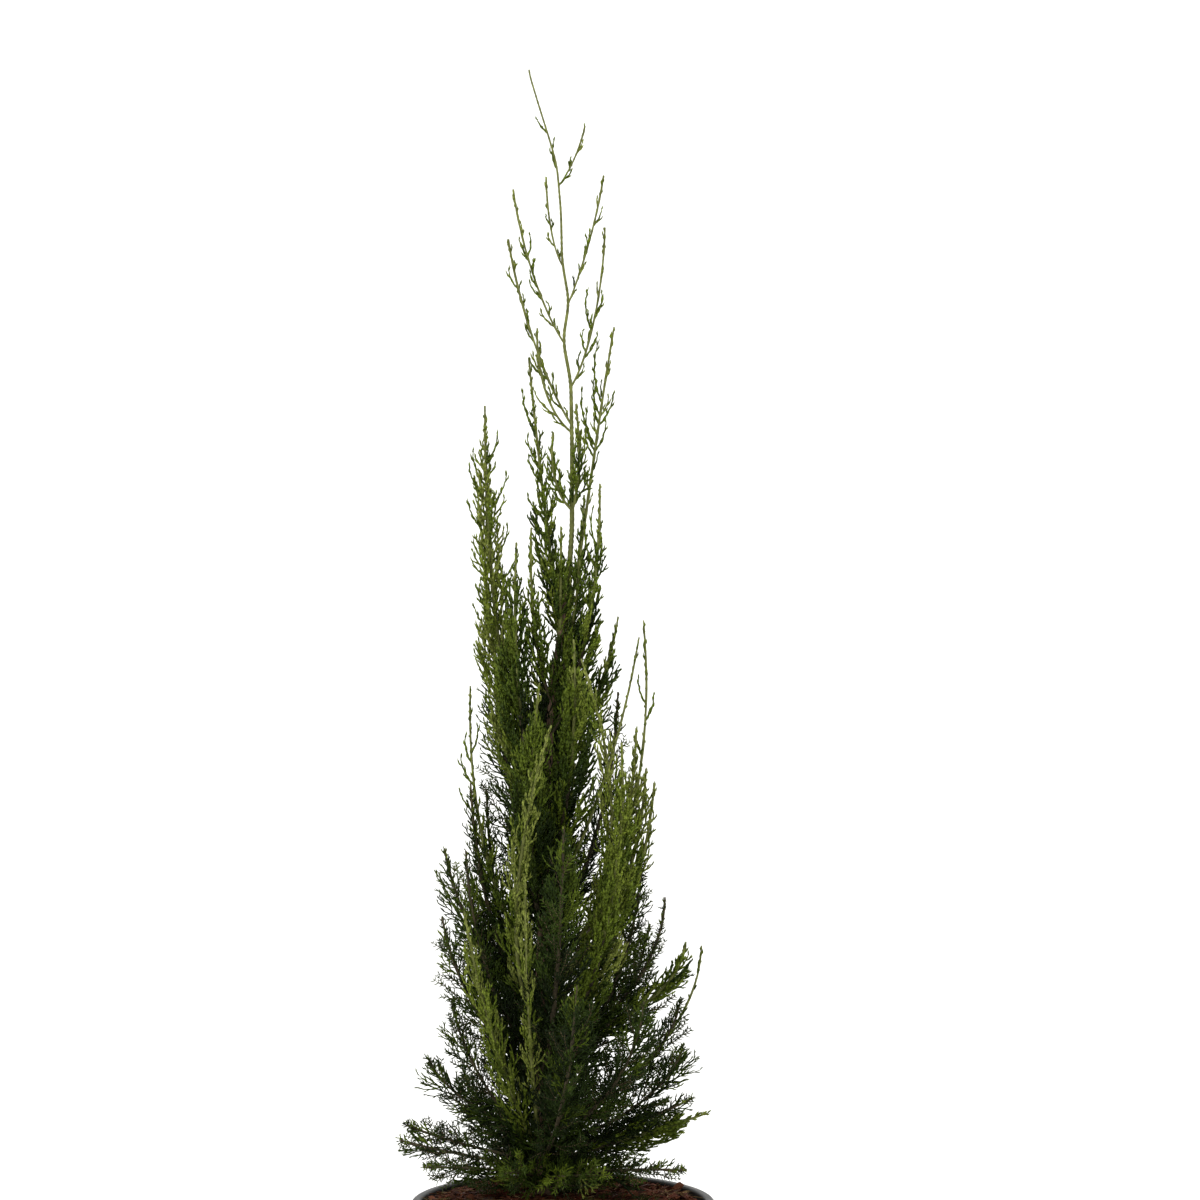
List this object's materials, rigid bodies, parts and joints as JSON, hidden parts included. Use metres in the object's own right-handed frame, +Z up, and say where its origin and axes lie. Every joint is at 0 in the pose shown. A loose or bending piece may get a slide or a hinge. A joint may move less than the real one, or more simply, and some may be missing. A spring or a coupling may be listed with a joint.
{
  "type": "potted eastern red cedar seedling",
  "caption": "Slim upright juniper seedling with ascending feathery sprays, in a round tapered nursery pot with a rolled rim, topped with bark mulch.",
  "frame": {"origin": "centre of the pot's flat underside, on the surface that the pot stands on", "axes": "+Z up along the trunk, -Y towards the front, +X to the right seen from the front"},
  "size_m": [0.1769, 0.165, 0.7791],
  "materials": {
    "foliage_light": "matte yellow-green scale leaves of the young shoots",
    "foliage_mid": "matte mid-green scale leaves",
    "foliage_dark": "matte dark green scale leaves and young needles",
    "bark": "thin stringy red-brown bark with fine lengthwise relief",
    "pot_plastic": "dark grey-black blow-moulded plastic, dusty and lightly scuffed",
    "bark_mulch": "moist red-brown shredded bark with moss and dry needles"
  },
  "bodies": {
    "root": {"bough_front_left_arch": "bark", "bough_front_right_arch": "bark", "bough_left_lowest": "bark", "bough_left_spire": "bark", "bough_right_lowest": "bark", "bough_right_outer": "bark", "bough_upper_right_tall": "bark", "foliage_back_high": "foliage_dark", "foliage_back_left_low": "foliage_dark", "foliage_back_left_lowest": "foliage_dark", "foliage_back_low": "foliage_dark", "foliage_back_right_low": "foliage_dark", "foliage_back_right_lowest": "foliage_dark", "foliage_crown_left": "foliage_light", "foliage_crown_right": "foliage_light", "foliage_front_left_arch": "foliage_mid", "foliage_front_left_low": "foliage_mid", "foliage_front_left_lowest": "foliage_dark", "foliage_front_left_upper": "foliage_mid", "foliage_front_low": "foliage_dark", "foliage_front_mid": "foliage_dark", "foliage_front_right": "foliage_mid", "foliage_front_right_arch": "foliage_mid", "foliage_front_right_low": "foliage_dark", "foliage_front_right_lowest": "foliage_dark", "foliage_leader_left": "foliage_light", "foliage_leader_left_inner": "foliage_mid", "foliage_leader_left_long": "foliage_light", "foliage_leader_left_plume": "foliage_light", "foliage_leader_right": "foliage_light", "foliage_leader_right_inner": "foliage_mid", "foliage_leader_right_low": "foliage_light", "foliage_left_back": "foliage_dark", "foliage_left_flank": "foliage_dark", "foliage_left_flank_top": "foliage_dark", "foliage_left_low": "foliage_dark", "foliage_left_lowest": "foliage_dark", "foliage_left_outer": "foliage_mid", "foliage_left_spire": "foliage_mid", "foliage_left_spire_inner": "foliage_mid", "foliage_mid_back": "foliage_mid", "foliage_mid_front": "foliage_mid", "foliage_right_back": "foliage_dark", "foliage_right_flank": "foliage_dark", "foliage_right_flank_long": "foliage_mid", "foliage_right_flank_top": "foliage_mid", "foliage_right_lowest": "foliage_mid", "foliage_right_mid": "foliage_dark", "foliage_right_outer": "foliage_mid", "foliage_right_outer_thin": "foliage_mid", "foliage_right_shoulder": "foliage_mid", "foliage_upper_back": "foliage_mid", "foliage_upper_left": "foliage_mid", "foliage_upper_left_front": "foliage_mid", "foliage_upper_right": "foliage_mid", "foliage_upper_right_outer": "foliage_mid", "foliage_upper_right_tall": "foliage_light", "mulch": "bark_mulch", "pot": "pot_plastic", "trunk": "bark"}
  },
  "joints": []
}
